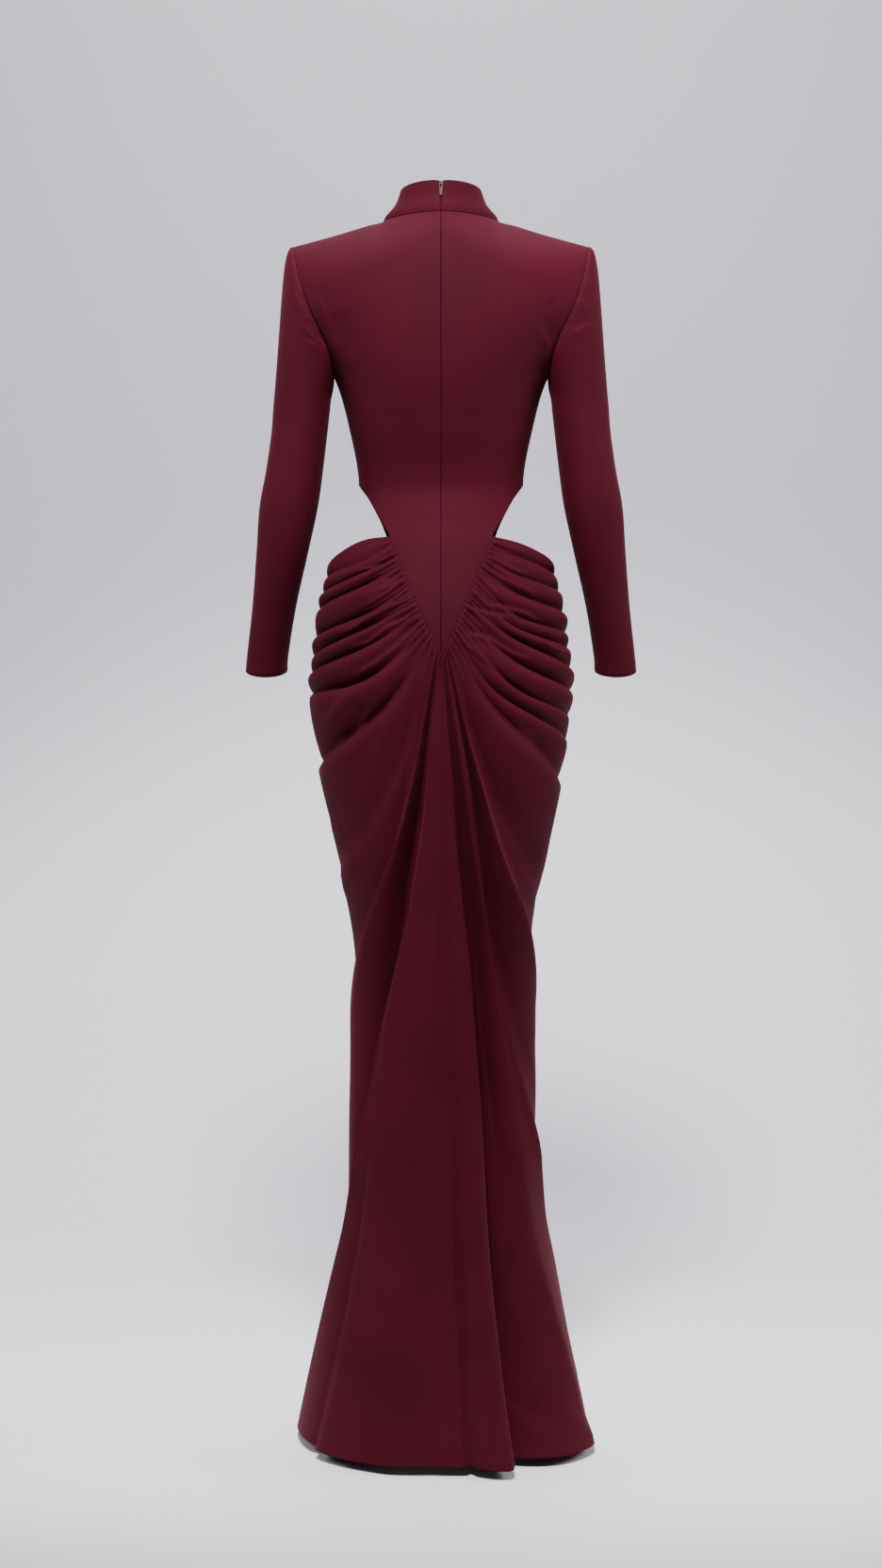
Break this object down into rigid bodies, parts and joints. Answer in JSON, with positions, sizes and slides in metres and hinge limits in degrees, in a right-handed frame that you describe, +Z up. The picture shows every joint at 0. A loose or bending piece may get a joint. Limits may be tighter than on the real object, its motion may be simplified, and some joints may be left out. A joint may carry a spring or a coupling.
{
  "type": "maxi dress",
  "caption": "Floor-length long-sleeved dress with a stand collar, a back bodice ending in a deep point, side cut-outs and a gathered, fluted back skirt, held in its worn form.",
  "frame": {"origin": "midway between the two shoulder points of the dress, on the shoulder seam line, where the wearer's shoulders carry it", "axes": "+Z up, the front of the dress faces -Y, +X towards the wearer's left"},
  "size_m": [0.501, 0.3233, 1.5792],
  "materials": {
    "cloth": "smooth matt crepe with a faint sheen, dark burgundy",
    "zip_metal": "small dark burgundy enamelled zip slider and tab, worn to metal at the edges"
  },
  "bodies": {
    "dress": {"collar": "cloth", "back_left": "cloth", "back_right": "cloth", "front": "cloth", "sleeve_left": "cloth", "sleeve_right": "cloth", "skirt_back": "cloth", "skirt_front": "cloth", "zip_tape": "cloth", "zip_slider": "zip_metal"},
    "pull_tab": {"zip_pull_tab": "zip_metal"}
  },
  "joints": [
    {"name": "pull_tab_swing", "type": "hinge", "parent": "dress", "child": "pull_tab", "pos_m": [0, 0.04995, 0.07161], "axis": [1, 0, 0], "range_deg": [0, 160]}
  ]
}
